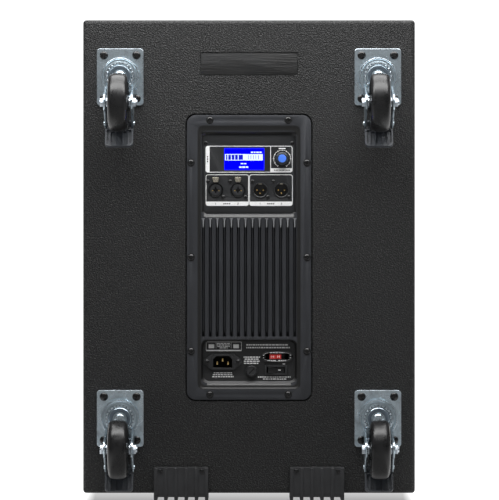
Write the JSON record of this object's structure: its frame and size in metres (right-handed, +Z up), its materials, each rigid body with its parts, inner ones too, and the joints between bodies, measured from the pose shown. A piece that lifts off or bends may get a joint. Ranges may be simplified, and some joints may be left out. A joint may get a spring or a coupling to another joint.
{
  "type": "powered subwoofer",
  "caption": "Portable powered PA subwoofer: painted plywood cabinet with a rear amplifier panel, braked swivel casters, ribbed feet and a grilled front.",
  "frame": {"origin": "on the floor under the middle of the whole box, casters included", "axes": "+Z up, the rear with its casters and amplifier faces -Y, the grille faces +Y, +X is to the right seen from the rear"},
  "size_m": [0.428, 0.6, 0.62],
  "materials": {
    "cabinet_paint": "plywood under black textured paint",
    "bare_plywood": "bare birch plywood",
    "grille_steel": "black powder coat",
    "black_plastic": "moulded, fine texture",
    "foot_rubber": "ribbed, dull",
    "black_steel": "black zinc",
    "magnet_ferrite": "grey ferrite and steel",
    "surround_rubber": "satin",
    "spider_cloth": "phenolic cloth",
    "cone_paper": "black pressed pulp",
    "coil_wire": "enamelled winding",
    "amp_casting": "dark slate powder coat",
    "gasket_foam": "closed-cell foam",
    "control_paint": "satin dark grey",
    "circuit_board": "solder mask",
    "display_glass": "backlit",
    "jack_plastic": "glass-filled nylon",
    "jack_shell": "black chrome",
    "latch_steel": "nickel",
    "knob_plastic": "satin with a lit cap",
    "selector_red": "satin",
    "rocker_plastic": "satin",
    "zinc_plate": "bright zinc with a blue cast",
    "caster_screw_black": "black zinc",
    "wheel_rubber": "grey-black moulded",
    "pedal_plastic": "slate nylon"
  },
  "bodies": {
    "cabinet": {"top_panel": "cabinet_paint", "bottom_panel": "cabinet_paint", "left_panel": "cabinet_paint", "right_panel": "cabinet_paint", "rear_panel": "cabinet_paint", "front_baffle": "cabinet_paint", "window_brace": "bare_plywood", "port_tubes": "black_plastic", "grille": "grille_steel", "side_handles": "black_plastic", "pole_socket": "black_steel", "feet": "foot_rubber", "case_screws": "black_steel", "woofer_basket": "black_steel", "woofer_magnet": "magnet_ferrite", "woofer_surround": "surround_rubber", "woofer_spider": "spider_cloth", "woofer_screws": "black_steel", "amp_heatsink": "amp_casting", "amp_gasket": "gasket_foam", "amp_screws": "black_steel", "control_plate": "control_paint", "amp_board": "circuit_board", "mains_transformer": "coil_wire", "display_module": "display_glass", "input_jacks": "jack_plastic", "output_jacks": "jack_shell", "mains_inlet": "black_plastic", "fuse_holder": "black_plastic", "voltage_selector": "black_plastic", "switch_housing": "black_plastic", "caster_plates": "zinc_plate", "caster_kingpins": "zinc_plate", "caster_ball_races": "zinc_plate", "caster_screws": "caster_screw_black"},
    "cone": {"woofer_cone": "cone_paper", "voice_coil": "coil_wire"},
    "encoder_press": {"encoder_shaft": "latch_steel"},
    "encoder_turn": {"encoder_knob": "knob_plastic"},
    "latch_left": {"input_latch_left": "latch_steel"},
    "latch_right": {"input_latch_right": "latch_steel"},
    "fuse_cap_body": {"fuse_cap": "black_plastic"},
    "selector_slide_body": {"selector_slider": "selector_red"},
    "rocker_body": {"power_rocker": "rocker_plastic"},
    "swivel_tl": {"caster_fork_tl": "zinc_plate", "caster_axle_tl": "zinc_plate"},
    "wheel_tl": {"caster_wheel_tl": "wheel_rubber"},
    "pedal_tl": {"caster_pedal_tl": "pedal_plastic"},
    "swivel_tr": {"caster_fork_tr": "zinc_plate", "caster_axle_tr": "zinc_plate"},
    "wheel_tr": {"caster_wheel_tr": "wheel_rubber"},
    "pedal_tr": {"caster_pedal_tr": "pedal_plastic"},
    "swivel_bl": {"caster_fork_bl": "zinc_plate", "caster_axle_bl": "zinc_plate"},
    "wheel_bl": {"caster_wheel_bl": "wheel_rubber"},
    "pedal_bl": {"caster_pedal_bl": "pedal_plastic"},
    "swivel_br": {"caster_fork_br": "zinc_plate", "caster_axle_br": "zinc_plate"},
    "wheel_br": {"caster_wheel_br": "wheel_rubber"},
    "pedal_br": {"caster_pedal_br": "pedal_plastic"}
  },
  "joints": [
    {"name": "cone_travel", "type": "slide", "parent": "cabinet", "child": "cone", "axis": [0, 1, 0], "range_m": [-0.008, 0.008], "stiffness_N_per_m": 4000, "deforming": ["woofer_surround", "woofer_spider"]},
    {"name": "knob_push", "type": "slide", "parent": "cabinet", "child": "encoder_press", "axis": [0, 1, 0], "range_m": [0, 0.0008], "stiffness_N_per_m": 2500},
    {"name": "knob_turn", "type": "hinge", "parent": "encoder_press", "child": "encoder_turn", "pos_m": [0.0427, -0.199, 0.4414], "axis": [0, -1, 0], "continuous": true},
    {"name": "latch_left_press", "type": "slide", "parent": "cabinet", "child": "latch_left", "axis": [0, 1, 0], "range_m": [0, 0.0015], "stiffness_N_per_m": 600},
    {"name": "latch_right_press", "type": "slide", "parent": "cabinet", "child": "latch_right", "axis": [0, 1, 0], "range_m": [0, 0.0015], "stiffness_N_per_m": 600},
    {"name": "fuse_cap_turn", "type": "hinge", "parent": "cabinet", "child": "fuse_cap_body", "pos_m": [0.0032, -0.191, 0.1673], "axis": [0, 1, 0], "range_deg": [0, 90]},
    {"name": "voltage_select", "type": "slide", "parent": "cabinet", "child": "selector_slide_body", "axis": [1, 0, 0], "range_m": [0, 0.004]},
    {"name": "power_rock", "type": "hinge", "parent": "cabinet", "child": "rocker_body", "pos_m": [0.0346, -0.19, 0.1684], "axis": [0, 0, 1], "range_deg": [0, 20]},
    {"name": "swivel_tl", "type": "hinge", "parent": "cabinet", "child": "swivel_tl", "pos_m": [-0.166, -0.211, 0.5465], "axis": [0, -1, 0], "continuous": true},
    {"name": "roll_tl", "type": "hinge", "parent": "swivel_tl", "child": "wheel_tl", "pos_m": [-0.166, -0.2625, 0.5105], "axis": [1, 0, 0], "continuous": true},
    {"name": "brake_tl", "type": "hinge", "parent": "swivel_tl", "child": "pedal_tl", "pos_m": [-0.166, -0.227, 0.4855], "axis": [-1, 0, 0], "range_deg": [0, 8]},
    {"name": "swivel_tr", "type": "hinge", "parent": "cabinet", "child": "swivel_tr", "pos_m": [0.166, -0.211, 0.5465], "axis": [0, -1, 0], "continuous": true},
    {"name": "roll_tr", "type": "hinge", "parent": "swivel_tr", "child": "wheel_tr", "pos_m": [0.166, -0.2625, 0.5105], "axis": [1, 0, 0], "continuous": true},
    {"name": "brake_tr", "type": "hinge", "parent": "swivel_tr", "child": "pedal_tr", "pos_m": [0.166, -0.227, 0.4855], "axis": [-1, 0, 0], "range_deg": [0, 8]},
    {"name": "swivel_bl", "type": "hinge", "parent": "cabinet", "child": "swivel_bl", "pos_m": [-0.166, -0.211, 0.1065], "axis": [0, -1, 0], "continuous": true},
    {"name": "roll_bl", "type": "hinge", "parent": "swivel_bl", "child": "wheel_bl", "pos_m": [-0.166, -0.2625, 0.0705], "axis": [1, 0, 0], "continuous": true},
    {"name": "brake_bl", "type": "hinge", "parent": "swivel_bl", "child": "pedal_bl", "pos_m": [-0.166, -0.227, 0.0455], "axis": [-1, 0, 0], "range_deg": [0, 8]},
    {"name": "swivel_br", "type": "hinge", "parent": "cabinet", "child": "swivel_br", "pos_m": [0.166, -0.211, 0.1065], "axis": [0, -1, 0], "continuous": true},
    {"name": "roll_br", "type": "hinge", "parent": "swivel_br", "child": "wheel_br", "pos_m": [0.166, -0.2625, 0.0705], "axis": [1, 0, 0], "continuous": true},
    {"name": "brake_br", "type": "hinge", "parent": "swivel_br", "child": "pedal_br", "pos_m": [0.166, -0.227, 0.0455], "axis": [-1, 0, 0], "range_deg": [0, 8]}
  ]
}
